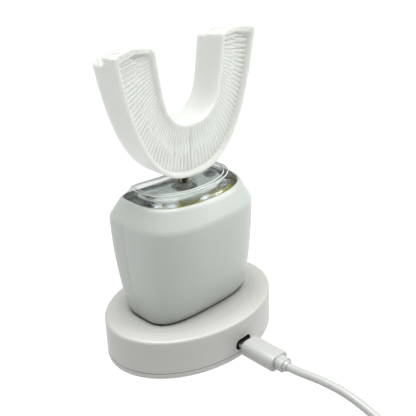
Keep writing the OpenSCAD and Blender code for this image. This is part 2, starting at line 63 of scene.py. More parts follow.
CAMERA_AZIMUTH = math.radians(-43.3)
CAMERA_ELEVATION = math.radians(24.8)
CAMERA_ROLL = math.radians(-1.85)
CAMERA_DISTANCE = 341.0
CAMERA_AIM_RIGHT = 9.6  # the aim lies this far right of the origin, across the view
CAMERA_AIM_UP = 55.5
SENSOR = 36.0
LENS = 64.65


def add_camera():
    sin_a, cos_a = math.sin(CAMERA_AZIMUTH), math.cos(CAMERA_AZIMUTH)
    sin_e, cos_e = math.sin(CAMERA_ELEVATION), math.cos(CAMERA_ELEVATION)
    back = Vector((sin_a * cos_e, -cos_a * cos_e, sin_e))
    right = Vector((cos_a, sin_a, 0))
    up = back.cross(right)
    place = right * CAMERA_AIM_RIGHT + up * CAMERA_AIM_UP + back * CAMERA_DISTANCE
    sin_r, cos_r = math.sin(CAMERA_ROLL), math.cos(CAMERA_ROLL)
    turned_right = right * cos_r + up * sin_r
    turned_up = up * cos_r - right * sin_r
    turn = Matrix((turned_right, turned_up, back)).transposed()
    data = bpy.data.cameras.new("camera")
    data.sensor_width = SENSOR
    data.lens = LENS
    data.clip_start = 0.01
    camera = bpy.data.objects.new("camera", data)
    camera.matrix_world = Matrix.Translation(place * MM) @ turn.to_4x4()
    bpy.context.collection.objects.link(camera)
    bpy.context.scene.camera = camera


add_camera()


# ---------------------------------------------------------------- materials

GRAIN_DEPTH = 0.0002  # metres


def noise_node(tree, coords, scale, detail=3.0):
    node = tree.nodes.new("ShaderNodeTexNoise")
    node.inputs["Scale"].default_value = scale
    node.inputs["Detail"].default_value = detail
    tree.links.new(coords.outputs["Object"], node.inputs["Vector"])
    return node


def blend_node(tree, fac, first, second):
    node = tree.nodes.new("ShaderNodeMix")
    node.data_type = "RGBA"
    tree.links.new(fac, node.inputs["Factor"])
    node.inputs["A"].default_value = (*first, 1)
    node.inputs["B"].default_value = (*second, 1)
    return node


def material(name, colour, shade, patch=40, rough=(0.3, 0.4), grain=400, bump=0.02, **sockets):
    """A finish whose colour wanders between colour and shade, with a fine grain in its surface."""
    made = bpy.data.materials.new(name)
    made.use_nodes = True
    tree = made.node_tree
    shader = tree.nodes["Principled BSDF"]
    coords = tree.nodes.new("ShaderNodeTexCoord")
    wander = noise_node(tree, coords, patch)
    mixed = blend_node(tree, wander.outputs["Fac"], colour, shade)
    tree.links.new(mixed.outputs["Result"], shader.inputs["Base Color"])
    spread = tree.nodes.new("ShaderNodeMapRange")
    spread.inputs["To Min"].default_value = rough[0]
    spread.inputs["To Max"].default_value = rough[1]
    tree.links.new(wander.outputs["Fac"], spread.inputs["Value"])
    tree.links.new(spread.outputs["Result"], shader.inputs["Roughness"])
    fine = noise_node(tree, coords, grain, 2.0)
    relief = tree.nodes.new("ShaderNodeBump")
    relief.inputs["Strength"].default_value = bump
    relief.inputs["Distance"].default_value = GRAIN_DEPTH
    tree.links.new(fine.outputs["Fac"], relief.inputs["Height"])
    tree.links.new(relief.outputs["Normal"], shader.inputs["Normal"])
    for socket, value in sockets.items():
        shader.inputs[socket.replace("_", " ")].default_value = value
    return made


BASE_SHELL = material(
    "base_shell", (0.40, 0.405, 0.38), (0.385, 0.39, 0.365), rough=(0.34, 0.42), bump=0.05)
HANDLE_SHELL = material(
    "handle_shell", (0.40, 0.43, 0.40), (0.385, 0.415, 0.385), rough=(0.28, 0.36))
BUTTON = material("button_white", (0.40, 0.43, 0.40), (0.375, 0.405, 0.375), rough=(0.35, 0.42))
CHASSIS = material(
    "chassis_plastic", (0.66, 0.68, 0.66), (0.60, 0.62, 0.60), rough=(0.5, 0.6), bump=0.1)
CLEAR = material(
    "clear_cover", (0.95, 0.97, 0.96), (0.92, 0.95, 0.94), rough=(0.02, 0.05), bump=0.0,
    Transmission_Weight=1.0, IOR=1.46, Alpha=0.35)
# painted highlight: a paler, less clear finish for the rim's beads, which shows them as thin bright lines
RIM_HIGHLIGHT_FINISH = material(
    "painted_rim_highlight", (0.80, 0.84, 0.82), (0.74, 0.78, 0.76), rough=(0.15, 0.25), bump=0.0,
    Transmission_Weight=0.25, IOR=1.46, Alpha=0.85)
SEAL = material("seal_rubber", (0.42, 0.43, 0.41), (0.34, 0.35, 0.33), rough=(0.4, 0.55), bump=0.1)
FOOT = material("foot_rubber", (0.16, 0.165, 0.165), (0.12, 0.12, 0.12), rough=(0.7, 0.85), bump=0.3)
# painted light: the deck glows weakly, standing in for the light that reaches it through the clear cover
DECK = material(
    "deck_silver", (0.62, 0.67, 0.645), (0.58, 0.63, 0.605), rough=(0.22, 0.3), bump=0.02, Metallic=0.1,
    Emission_Color=(0.90, 0.96, 0.93, 1), Emission_Strength=0.16)
PLATE = material(
    "plate_metal", (0.26, 0.29, 0.28), (0.18, 0.20, 0.20), rough=(0.25, 0.38), bump=0.04, Metallic=0.6)
PLATED = material(
    "plated_steel", (0.60, 0.61, 0.62), (0.50, 0.51, 0.52), rough=(0.22, 0.32), bump=0.05, Metallic=1.0)
SCREW = material(
    "screw_steel", (0.52, 0.54, 0.55), (0.42, 0.44, 0.45), rough=(0.25, 0.35), bump=0.08, Metallic=1.0)
SHAFT = material(
    "shaft_steel", (0.62, 0.62, 0.62), (0.5, 0.5, 0.5), rough=(0.1, 0.2), bump=0.01, Metallic=1.0)
COLLAR = material(
    "collar_black", (0.012, 0.012, 0.012), (0.03, 0.028, 0.022), rough=(0.2, 0.3), bump=0.03)
BRASS = material(
    "shaft_brass", (0.62, 0.50, 0.24), (0.45, 0.36, 0.16), rough=(0.15, 0.3), bump=0.04, Metallic=1.0)
ROTOR = material(
    "rotor_iron", (0.06, 0.06, 0.06), (0.10, 0.10, 0.10), rough=(0.5, 0.6), bump=0.1, Metallic=0.8)
COPPER = material(
    "copper_winding", (0.52, 0.20, 0.08), (0.42, 0.15, 0.06), rough=(0.3, 0.4), Metallic=0.9)
FERRITE = material("ferrite", (0.03, 0.03, 0.033), (0.05, 0.05, 0.05), rough=(0.6, 0.7), bump=0.2)
BOARD = material(
    "circuit_board", (0.03, 0.11, 0.035), (0.045, 0.15, 0.045), patch=300, rough=(0.3, 0.5))
LIGHT_BOARD = material(
    "light_board", (0.20, 0.20, 0.05), (0.26, 0.25, 0.05), patch=300, rough=(0.3, 0.5))
WHITE_LIGHT = material("white_light", (0.78, 0.83, 0.92), (0.70, 0.76, 0.88), rough=(0.15, 0.25))
BLUE_LIGHT = material("blue_light", (0.44, 0.52, 0.62), (0.50, 0.58, 0.66), rough=(0.15, 0.25))
SWITCH = material("switch_black", (0.015, 0.015, 0.015), (0.03, 0.03, 0.03), rough=(0.4, 0.5))
SLEEVE = material("battery_sleeve", (0.07, 0.16, 0.40), (0.09, 0.2, 0.46), rough=(0.25, 0.35))
# painted light: the mouthpiece and its bristles glow weakly, standing in for the light that passes through
# the silicone; on the bristles the glow also fills the shade between them
SILICONE = material(
    "milky_silicone", (0.30, 0.31, 0.29), (0.285, 0.295, 0.275), rough=(0.35, 0.5), bump=0.04,
    Subsurface_Weight=0.8, Subsurface_Radius=(1.0, 1.0, 0.95), Subsurface_Scale=0.006,
    IOR=1.41, Emission_Color=(0.9, 0.93, 0.88, 1), Emission_Strength=0.34)
BRISTLE = material(
    "bristle_silicone", (0.22, 0.23, 0.215), (0.205, 0.215, 0.20), rough=(0.3, 0.45), bump=0.0,
    Subsurface_Weight=0.8, Subsurface_Radius=(1.0, 1.0, 1.0), Subsurface_Scale=0.004,
    IOR=1.41, Emission_Color=(0.9, 0.93, 0.89, 1), Emission_Strength=0.46)
CORD = material(
    "cord_white", (0.345, 0.353, 0.34), (0.33, 0.337, 0.325), rough=(0.32, 0.42), bump=0.03)
TIE = material("tie_plastic", (0.6, 0.61, 0.6), (0.55, 0.56, 0.55), rough=(0.45, 0.6), bump=0.1)
FLOOR = material(
    "floor_white", (0.10, 0.10, 0.10), (0.09, 0.09, 0.09), patch=3, rough=(0.6, 0.7), bump=0.0,
    Emission_Color=(1, 1, 1, 1), Emission_Strength=1.0)


# ---------------------------------------------------------------- mesh helpers

def mesh_from(name, points, faces, crease=35):
    """A smooth mesh object through points in millimetres, with edges sharper than crease kept."""
    data = bpy.data.meshes.new(name)
    data.from_pydata([Vector(p) * MM for p in points], [], faces)
    build = bmesh.new()
    build.from_mesh(data)
    bmesh.ops.recalc_face_normals(build, faces=build.faces)
    build.to_mesh(data)
    build.free()
    smooth(data, crease)
    made = bpy.data.objects.new(name, data)
    bpy.context.collection.objects.link(made)
    return made


def smooth(data, crease):
    data.shade_smooth()
    data.set_sharp_from_angle(angle=math.radians(crease))


def piece(made, body, finish, slot, *nodes):
    """Gives a piece its finish and its body, and hides the CAD nodes that it stands for."""
    made.data.materials.clear()
    made.data.materials.append(finish)
    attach(made, body)
    if nodes:
        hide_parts(*nodes)
    return made


def cap_face(count, ring):
    """One flat face that fills the numbered ring of count points."""
    return tuple(range(ring * count, (ring + 1) * count))


def wall_faces(count, lower, upper):
    """Faces between two numbered rings of count points."""
    faces = []
    for i in range(count):
        j = (i + 1) % count
        faces.append((lower * count + i, lower * count + j, upper * count + j, upper * count + i))
    return faces


def ring_faces(count, rings, closed_ends=True):
    """Faces from each ring of count points to the next, with flat ends."""
    faces = []
    for k in range(rings - 1):
        faces += wall_faces(count, k, k + 1)
    if closed_ends:
        faces += [cap_face(count, 0), cap_face(count, rings - 1)]
    return faces


def loft(name, rings, crease=35):
    points = [p for ring in rings for p in ring]
    return mesh_from(name, points, ring_faces(len(rings[0]), len(rings)), crease)


def band(name, rings, crease=35):
    """A closed band: the last ring joins the first."""
    count = len(rings[0])
    faces = ring_faces(count, len(rings), closed_ends=False)
    faces += wall_faces(count, len(rings) - 1, 0)
    return mesh_from(name, [p for ring in rings for p in ring], faces, crease)


def hollow_shell(name, outside, inside, crease=35):
    """A shell open below. outside runs from its lower edge to the middle of its top, and inside
    from the middle of its ceiling back down to the lower edge."""
    count = len(outside[0])
    turn = len(outside)
    faces = ring_faces(count, turn, closed_ends=False)
    faces.append(cap_face(count, turn - 1))
    for k in range(turn, turn + len(inside) - 1):
        faces += wall_faces(count, k, k + 1)
    faces.append(cap_face(count, turn))
    faces += wall_faces(count, 0, turn + len(inside) - 1)
    return mesh_from(name, [p for ring in outside + inside for p in ring], faces, crease)


def carve(target, cutter, operation="DIFFERENCE", crease=35):
    """Cuts cutter from target, or joins it on, and throws the cutter away."""
    change = target.modifiers.new("carve", "BOOLEAN")
    change.operation = operation
    change.solver = "EXACT"
    change.object = cutter
    graph = bpy.context.evaluated_depsgraph_get()
    result = bpy.data.meshes.new_from_object(target.evaluated_get(graph))
    target.modifiers.clear()
    target.data = result
    bpy.data.objects.remove(cutter)
    smooth(target.data, crease)
    return target


def rod(name, centre, radius, z0, z1, sides=48):
    """An upright cylinder as a temporary tool for carve()."""
    return loft(name, [circle(centre[0], centre[1], radius, z, sides) for z in (z0, z1)])


def circle(x, y, radius, z, sides=48):
    return [(x + radius * math.cos(TAU * i / sides), y + radius * math.sin(TAU * i / sides), z)
            for i in range(sides)]


def lathe(name, x, y, profile, sides=48, crease=35):
    """A turned piece from (radius, height) pairs, bottom to top."""
    return loft(name, [circle(x, y, r, z, sides) for r, z in profile], crease)


def tube_profile(outer_r, inner_r, z0, z1, bevel=0.15):
    """Outer wall then inner wall of a ring, for lathe_ring()."""
    outer = [(outer_r - bevel, z0), (outer_r, z0 + bevel), (outer_r, z1 - bevel), (outer_r - bevel, z1)]
    return outer + [(inner_r, z1), (inner_r, z0)]


def lathe_ring(name, x, y, profile, sides=64, crease=35):
    """A turned ring with a hole through it."""
    return band(name, [circle(x, y, r, z, sides) for r, z in profile], crease)


def join(name, parts):
    """One piece from several meshes."""
    build = bmesh.new()
    for part in parts:
        build.from_mesh(part.data)
    data = bpy.data.meshes.new(name)
    build.to_mesh(data)
    build.free()
    for part in parts:
        bpy.data.objects.remove(part)
    made = bpy.data.objects.new(name, data)
    bpy.context.collection.objects.link(made)
    return made


def quarter_turn(steps):
    """Angles from 0 to a quarter turn, both included."""
    return [TAU / 4 * k / steps for k in range(steps + 1)]


def smooth_step(t):
    t = min(max(t, 0.0), 1.0)
    return t * t * (3 - 2 * t)


# ---------------------------------------------------------------- charging lead

CORD_D = 3.5
EXIT = (3.0, -55.5, 6.6)
LEAD_ROUTE = [
    EXIT, (3.1, -58.5, 6.65), (3.3, -62, 6.9), (3.6, -65, 7.1), (4, -68, 7.25), (4.4, -71, 7.3),
    (4.7, -74, 7.25), (5, -77, 7.1), (5.2, -80, 6.9), (5.3, -84, 6.45), (5.3, -89, 5.6), (5, -94, 4.6),
    (4.5, -99, 3.6), (3.9, -104, 2.7), (3.1, -109, 2.1), (2.6, -114, 1.85), (2.3, -118, 1.8),
    (2.25, -122, 1.8)]
TAIL_ROUTE = [
    (-17.5, -141.75, 5.3), (-20, -141.75, 5.25), (-23, -141.75, 5), (-26, -141.75, 4.6),
    (-29, -141.75, 4.3), (-33, -141.75, 4.2)]
COIL_CENTRE = (-17.5, -122.0)
COIL_LAYERS = (1.8, 5.3, 8.8)
OUTER_TURN_R = 19.75
INNER_TURN_R = 16.25
CHANGE_START = 0.80  # where in the first turn the cord begins to change place
CHANGE_SHARE = 0.11  # share of a turn that a change takes
# where each turn lies, as (radius, height), in the order in which the cord was wound
COIL_SLOTS = [
    (OUTER_TURN_R, COIL_LAYERS[0]), (INNER_TURN_R, COIL_LAYERS[0]), (INNER_TURN_R, COIL_LAYERS[1]),
    (INNER_TURN_R, COIL_LAYERS[2]), (OUTER_TURN_R, COIL_LAYERS[2]), (OUTER_TURN_R, COIL_LAYERS[1])]
TURN_POINTS = 24
# mouldings on the lead, each as width, height, corner radius and rounding of its ends
PLUG_MOULD = (10.4, 7.2, 3.0, 0.7)
PLUG_COLLAR = (6.8, 5.6, 2.5, 0.4)
PLUG_CONE = [(3.0, 5.0, 5.0, 2.49), (4.4, 4.6, 4.6, 2.29), (5.0, 4.2, 4.2, 2.09)]  # as bar() takes them
SUPPLY_NECK = (6.4, 5.4, 2.4, 0.5)
SUPPLY_BODY = (15.6, 8.0, 2.6, 0.8)
JOINED_CREASE = 40
TIE_THICK = 0.8
TIE_FOOT_Z = 0.3
TO_FRONT = (0, -1, 0)
TO_LEFT = (-1, 0, 0)


def coil_route():
    """Clockwise turns from the lead's end to the tail's start. Later turns change place earlier."""
    route = []
    last = len(COIL_SLOTS) - 1
    for turn, (radius, height) in enumerate(COIL_SLOTS):
        steps = TURN_POINTS if turn < last else TURN_POINTS // 4
        for step in range(steps):
            share = step / TURN_POINTS
            r, z = radius, height
            if turn < last:
                begin = CHANGE_START - CHANGE_SHARE * turn
                k = smooth_step((share - begin) / CHANGE_SHARE)
                r += (COIL_SLOTS[turn + 1][0] - radius) * k
                z += (COIL_SLOTS[turn + 1][1] - height) * k
            angle = -TAU * share
            x, y = COIL_CENTRE[0] + r * math.cos(angle), COIL_CENTRE[1] + r * math.sin(angle)
            route.append((x, y, z))
    return route


def rounded_route(points, per_span=3):
    """A finer route through the same points (Catmull-Rom)."""
    route = [Vector(p) for p in points]
    fine = []
    for i in range(len(route) - 1):
        before, after = route[max(i - 1, 0)], route[min(i + 2, len(route) - 1)]
        a, b = route[i], route[i + 1]
        for step in range(per_span):
            t = step / per_span
            fine.append(0.5 * (2 * a + (b - before) * t + (2 * before - 5 * a + 4 * b - after) * t * t
                               + (3 * a - before - 3 * b + after) * t ** 3))
    fine.append(route[-1])
    return fine


def tube(name, route, radius, sides=28):
    rings = []
    for i, place in enumerate(route):
        ahead = (route[min(i + 1, len(route) - 1)] - route[max(i - 1, 0)]).normalized()
        side = ahead.cross(Vector((0, 0, 1))).normalized()
        rise = side.cross(ahead)
        angles = [TAU * k / sides for k in range(sides)]
        rings.append([place + radius * (math.cos(a) * side + math.sin(a) * rise) for a in angles])
    return loft(name, rings, crease=60)


def rounded_section(width, height, corner, arc=6):
    """Outline of a rounded rectangle about the origin, as (across, up) pairs."""
    outline = []
    for quarter in range(4):
        sx = 1 if quarter in (0, 3) else -1
        sz = 1 if quarter in (0, 1) else -1
        cx, cz = sx * (width / 2 - corner), sz * (height / 2 - corner)
        for k in range(arc + 1):
            a = TAU / 4 * (quarter + k / arc)
            outline.append((cx + corner * math.cos(a), cz + corner * math.sin(a)))
    return outline


def bar(name, origin, direction, sections, crease=35):
    """A bar from (distance, width, height, corner) sections along a level direction."""
    ahead = Vector(direction)
    across = Vector((-ahead.y, ahead.x, 0))
    rings = []
    for far, width, height, corner in sections:
        start = Vector(origin) + ahead * far
        outline = rounded_section(width, height, corner)
        rings.append([start + across * u + Vector((0, 0, v)) for u, v in outline])
    return loft(name, rings, crease)


def softened(start, end, width, height, corner, soft, steps=4):
    """Sections of a bar whose two ends are rounded over by soft."""
    def section(far, inset):
        return far, width - 2 * inset, height - 2 * inset, corner - inset
    angles = quarter_turn(steps)
    near_end = [section(start + soft * (1 - math.cos(a)), soft * (1 - math.sin(a))) for a in angles]
    far_end = [section(end - soft * (1 - math.sin(a)), soft * (1 - math.cos(a))) for a in angles]
    return near_end + far_end


def add_plug():
    """The plug's moulding and the sleeve that the cord leaves it by."""
    low, high = cad("plug_overmould")
    origin = (EXIT[0], high.y, EXIT[2])
    mould = bar("plug_mould", origin, TO_FRONT, softened(0, high.y - low.y, *PLUG_MOULD))
    piece(mould, "lead", CORD, "cord_white", "plug_overmould")

    _, high = cad("plug_strain_relief")
    origin = (EXIT[0], high.y, EXIT[2])
    collar = bar("plug_collar", origin, TO_FRONT, softened(-0.6, 3.6, *PLUG_COLLAR))
    cone = bar("plug_cone", origin, TO_FRONT, PLUG_CONE)
    relief = join("plug_relief", [collar, cone])
    smooth(relief.data, JOINED_CREASE)
    return mould, piece(relief, "lead", CORD, "cord_white", "plug_strain_relief")


def add_supply_plug():
    """The moulding at the far end, with the neck that the cord enters."""
    _, high = cad("supply_plug_overmould")
    origin = (high.x, TAIL_ROUTE[-1][1], TAIL_ROUTE[-1][2])
    neck = bar("supply_neck", origin, TO_LEFT, softened(0, 6.6, *SUPPLY_NECK))
    body = bar("supply_body", origin, TO_LEFT, softened(6.0, 28.0, *SUPPLY_BODY))
    supply = join("supply_mould", [neck, body])
    smooth(supply.data, JOINED_CREASE)
    return piece(supply, "lead", CORD, "cord_white", "supply_plug_overmould")


def tie_path(low, high, inset, corner=1.6, steps=5):
    """Up one side of the tie, over its rounded shoulders and down to the floor again."""
    x0, x1, top = low.x + inset, high.x - inset, high.z - inset
    bend = corner - inset * 0.6
    points = [(x0, TIE_FOOT_Z)]
    for a in quarter_turn(steps):
        points.append((x0 + bend * (1 - math.cos(a)), top - bend * (1 - math.sin(a))))
    for a in quarter_turn(steps):
        points.append((x1 - bend * (1 - math.sin(a)), top - bend * (1 - math.cos(a))))
    points.append((x1, TIE_FOOT_Z))
    return points


def add_tie():
    """The strip that holds the coil together, as a rounded band open at the floor."""
    low, high = cad("cord_tie")
    outline = tie_path(low, high, 0) + tie_path(low, high, TIE_THICK)[::-1]
    strip = loft("tie_strip", [[(x, y, z) for x, z in outline] for y in (low.y, high.y)])
    return piece(strip, "lead", TIE, "tie_plastic", "cord_tie")


def add_lead():
    mould, relief = add_plug()
    route = rounded_route(LEAD_ROUTE[:-1] + coil_route() + TAIL_ROUTE)
    cord = piece(tube("cord", route, CORD_D / 2), "lead", CORD, "cord_white",
                 "cord_tube", "cord_coil", "cord_tail")
    supply = add_supply_plug()
    tie = add_tie()


add_lead()


# ---------------------------------------------------------------- charging base

BASE_W, BASE_D, BASE_H = 82.0, 61.0, 18.6
COVER_H = 2.9
BASE_WALL = 2.0
BASE_EDGE_R = 1.3
CEILING_Z = 15.4
DISH_A, DISH_B = 34.2, 23.2  # half axes of the dish's edge
DISH_DEPTH = 0.4
SEAT_Z = 17.0
SEAT_PLAN = (26.0, 13.4, 13.4, 0.6, 3.6)
PORT = (9.2, 5.2, 2.3)  # width, height, corner radius
PORT_WAY = (8.9, 4.9, 2.15)  # what the black sheet of painted shade inside the port leaves free
PORT_START = 4.0  # the port and its sheet of painted shade begin this far inside the base's face
PORT_LENGTH = 8.0
SHADE_LINER_LENGTH = 3.3
SCREW_X, SCREW_Y, SCREW_WELL_R = 24, 13, 2.3
RING_POINTS = 144


def signed_power(value, exponent):
    return math.copysign(abs(value) ** exponent, value)


def plan_point(s, angle):
    """A point of the handle's plan. s is (half width, front, back, bend, squareness)."""
    x = s[0] * signed_power(math.cos(angle), 2 / s[4])
    reach = s[1] if math.sin(angle) < 0 else s[2]
    return x, reach * signed_power(math.sin(angle), 2 / s[4]) + s[3] * (x / s[0]) ** 2


def plan_ring(s, z, count=RING_POINTS):
    return [(*plan_point(s, TAU * i / count), z) for i in range(count)]


def shrink(s, by):
    return (s[0] - by, s[1] - by, s[2] - by, s[3], s[4])


def between(s, t, k):
    return tuple(a * (1 - k) + b * k for a, b in zip(s, t))


def oval(a, b, z, count=RING_POINTS):
    return [(a * math.cos(TAU * i / count), b * math.sin(TAU * i / count), z) for i in range(count)]


def base_wall(a, b):
    """Rings up the wall of the base and over its rounded edge."""
    rings = [oval(a - 0.25, b - 0.25, COVER_H + 0.1), oval(a, b, COVER_H + 0.35)]
    rings += [oval(a, b, z) for z in (5.0, 8.0, 11.0, 14.0)]
    for t in quarter_turn(6):
        inset = BASE_EDGE_R * (1 - math.cos(t))
        rings.append(oval(a - inset, b - inset, BASE_H - BASE_EDGE_R * (1 - math.sin(t))))
    return rings


def base_top():
    """Rings down into the shallow dish, then into the handle's seat."""
    floor = BASE_H - DISH_DEPTH
    rings = [oval(DISH_A + out, DISH_B + out, z) for out, z in (
        (0.8, BASE_H), (0, BASE_H - 0.12), (-1.2, floor + 0.05), (-2.2, floor))]
    rings += [plan_ring(shrink(SEAT_PLAN, -0.3), floor), plan_ring(SEAT_PLAN, floor - 0.25),
              plan_ring(SEAT_PLAN, SEAT_Z), plan_ring(shrink(SEAT_PLAN, 12), SEAT_Z)]
    return rings


def port_bar(name, start, length, section):
    return bar(name, (EXIT[0], start - BASE_D / 2, EXIT[2]), TO_FRONT, [(0, *section), (length, *section)])


def add_base():
    a, b = BASE_W / 2, BASE_D / 2
    inner_a, inner_b = a - BASE_WALL, b - BASE_WALL
    inside = [oval(6, 2, CEILING_Z), oval(inner_a, inner_b, CEILING_Z),
              oval(inner_a, inner_b, COVER_H + 0.1)]
    shell = hollow_shell("base_shell", base_wall(a, b) + base_top(), inside)
    carve(shell, port_bar("port", PORT_START, PORT_LENGTH, PORT))
    piece(shell, "base", BASE_SHELL, "base_shell", "base_top_shell")
    # painted shade: a black sheet inside the port stands for the shade in its depth
    shade_liner = port_bar("port_shade_liner", PORT_START - 0.1, SHADE_LINER_LENGTH, PORT)
    carve(shade_liner, port_bar("port_way", PORT_START + 0.5, PORT_LENGTH + 1, PORT_WAY))
    piece(shade_liner, "base", SWITCH, "switch_black")


def add_base_cover():
    a, b = BASE_W / 2, BASE_D / 2
    low, _ = cad("base_bottom_cover")
    edge = ((0.5, low.z), (0.2, low.z + 0.2), (0.05, low.z + 0.45), (0, low.z + 0.8),
            (0, COVER_H - 0.25), (0.25, COVER_H), (6, COVER_H))  # inset and height
    plate = loft("base_cover", [oval(a - inset, b - inset, z) for inset, z in edge])
    for x in (-SCREW_X, SCREW_X):
        for y in (-SCREW_Y, SCREW_Y):
            carve(plate, rod("well", (x, y), SCREW_WELL_R, low.z - 1, low.z + 1.2))
    piece(plate, "base", BASE_SHELL, "base_shell", "base_bottom_cover")


add_base()
add_base_cover()


# ---------------------------------------------------------------- handle

HANDLE_Z = 17.1
SHOULDER_Z = 63.1
RIM_Z = 71.3
CLEAR_Z = 75.2
SUNK_Z = 72.8
WALL = 1.8
FOOT_PLAN = (27.3, 14.4, 14.4, 0.6, 3.6)
SHOULDER_PLAN = (29.7, 21.6, 17.9, 4.3, 3.9)
RIM_PLAN = (25.9, 18.2, 11.6, 4.8, 3.7)
CLEAR_PLAN = shrink(RIM_PLAN, 1)
TOP_PLAN = (22.2, 13.4, 8.4, 4.6, 3.5)
CORNER_H = 7.0  # height and inset of the rounded foot
CORNER_IN = 3.6
SHOULDER_SOFT = 1.3  # how far the shoulder's crease is rounded, up and down
HALF_CREASE = 32
LODGE = 1.5  # depth of the lip that holds the clear cover's seal
LIP = 0.6
BUTTON_Z = 46.0
BUTTON_R = 5.5


def handle_section(z):
    if z > SHOULDER_Z:
        return between(SHOULDER_PLAN, RIM_PLAN, (z - SHOULDER_Z) / (RIM_Z - SHOULDER_Z))
    draw_in = 0.0
    if z < HANDLE_Z + CORNER_H:
        draw_in = CORNER_IN * (1 - math.sqrt(max(0.0, 1 - (1 - (z - HANDLE_Z) / CORNER_H) ** 2)))
    depth = ((SHOULDER_Z - z) / (SHOULDER_Z - HANDLE_Z)) ** 2
    return shrink(between(SHOULDER_PLAN, FOOT_PLAN, depth), draw_in)


def softened_section(z):
    """The section with the shoulder's crease rounded over."""
    reach = SHOULDER_SOFT
    if abs(z - SHOULDER_Z) >= reach:
        return handle_section(z)
    t = (z - SHOULDER_Z + reach) / (2 * reach)
    below, above = handle_section(SHOULDER_Z - reach), handle_section(SHOULDER_Z + reach)
    return tuple((1 - t) ** 2 * p + 2 * t * (1 - t) * c + t * t * q
                 for p, c, q in zip(below, SHOULDER_PLAN, above))


def handle_rows():
    """Heights of the shell's rings: foot, body, shoulder and rim."""
    foot = [HANDLE_Z + CORNER_H * (1 - math.cos(a)) for a in quarter_turn(10)]
    body = [27 + 3 * k for k in range(12)]
    shoulder = [SHOULDER_Z + SHOULDER_SOFT * k / 4 for k in range(-4, 5)]
    return foot + body + shoulder + [66.5, 68.6, RIM_Z - LODGE, RIM_Z - 0.3]


def half_shell(name, start, columns=96, groove=0.22, crowd=0.0008):
    """One half of the handle's shell, outside and inside, with its parting edges drawn in."""
    angles = [start + math.pi * i / columns for i in range(columns + 1)]
    # one more column close to each edge keeps the parting groove narrow
    angles[1:1] = [start + math.pi * crowd]
    angles[-1:-1] = [start + math.pi * (1 - crowd)]
    last = len(angles) - 1

    def row(section, z):
        points = []
        for i, angle in enumerate(angles):
            s = shrink(section, groove) if i in (0, last) else section
            points.append((*plan_point(s, angle), z))
        return points
    outer = [row(softened_section(z), z) for z in handle_rows()]
    outer.append(row(shrink(RIM_PLAN, 0.2), RIM_Z))
    rim = shrink(RIM_PLAN, LIP)
    inner = [row(rim, RIM_Z), row(rim, RIM_Z - LODGE)]
    inner += [row(shrink(handle_section(z), WALL), z) for z in reversed(handle_rows()[:-1])]
    grid = outer + inner
    count = last + 1
    points = [p for line in grid for p in line]
    faces = []
    for k in range(len(grid)):
        n = (k + 1) % len(grid)
        for i in range(last):
            faces.append((k * count + i, k * count + i + 1, n * count + i + 1, n * count + i))
    for edge in (0, last):
        for k in range(len(outer) - 1):
            far = len(grid) - 1 - k
            if far - 1 <= k:
                break
            corners = (k, k + 1, far - 1, far)
            faces.append(tuple(row_number * count + edge for row_number in corners))
    return mesh_from(name, points, faces, HALF_CREASE)


def add_handle():
    front = half_shell("handle_front", math.pi)
    piece(front, "handle", HANDLE_SHELL, "handle_shell", "front_shell")
    rear = half_shell("handle_rear", 0)
    hole = bar_round("hole", 10, BUTTON_Z, BUTTON_R + 0.3, 14)
    carve(rear, hole, crease=HALF_CREASE)
    piece(rear, "handle", HANDLE_SHELL, "handle_shell", "rear_shell")


def facing_circle(radius, y, z, sides=64):
    """A ring round a line along Y at height z, in the middle of the handle."""
    angles = [TAU * i / sides for i in range(sides)]
    return [(radius * math.cos(a), y, z + radius * math.sin(a)) for a in angles]


def bar_round(name, y, z, radius, length):
    """A cylinder along +Y from y, as a temporary tool for carve()."""
    return loft(name, [facing_circle(radius, y, z), facing_circle(radius, y + length, z)])


def add_button():
    low, high = cad("power_button")
    flange = [(BUTTON_R + 0.9, low.y), (BUTTON_R + 0.9, low.y + 1), (BUTTON_R, low.y + 1.01)]
    edge = [(BUTTON_R - inset, high.y - drop)
            for inset, drop in ((0, 0.6), (0.18, 0.25), (0.6, 0.05), (1.2, 0))]
    dish = [(radius, high.y - drop) for radius, drop in ((3.2, 0.12), (1.6, 0.25), (0.4, 0.3))]
    rings = [facing_circle(radius, y, BUTTON_Z) for radius, y in flange + edge + dish]
    piece(loft("button_cap", rings), "button", BUTTON, "button_white", "power_button")


COVER_SCREW_X, COVER_SCREW_Y = 16.0, 1.5
PILLAR_R, SHANK_R, HEAD_R = 2.6, 1.15, 2.15  # round each of the cover's screws
BOSS_R, BORE_R = 5.2, 3.45  # round the shaft
CLEAR_CREASE = 28
RIM_SOFT = 0.6
RIM_BEADS = ((0.15, CLEAR_Z - 0.12), (1.75, CLEAR_Z - 0.08))  # inset and height of each bead
BEAD_R = 0.2
BEAD_SIDES = 6
LENS_FLUTES = 9
LENS_STEPS = 4 * LENS_FLUTES
LENS_A, LENS_B = 4.0, 2.0  # half axes of the lens's fluted front


def cover_outside(low):
    """Rings up the cover, over its raised rim and down to the sunken middle."""
    rings = [plan_ring(CLEAR_PLAN, low.z), plan_ring(CLEAR_PLAN, RIM_Z + 0.3),
             plan_ring(between(CLEAR_PLAN, TOP_PLAN, 0.1), RIM_Z + 0.7),
             plan_ring(between(CLEAR_PLAN, TOP_PLAN, 0.85), CLEAR_Z - 0.75)]
    for a in quarter_turn(5)[1:]:
        plan = shrink(TOP_PLAN, RIM_SOFT * (1 - math.cos(a)) - 0.2)
        rings.append(plan_ring(plan, CLEAR_Z - RIM_SOFT * (1 - math.sin(a))))
    rings += [plan_ring(shrink(TOP_PLAN, inset), z) for inset, z in (
        (1.5, CLEAR_Z - 0.02), (2.0, CLEAR_Z - 0.25), (2.2, CLEAR_Z - 0.7), (2.25, SUNK_Z + 0.3),
        (2.6, SUNK_Z), (7, SUNK_Z))]
    return rings


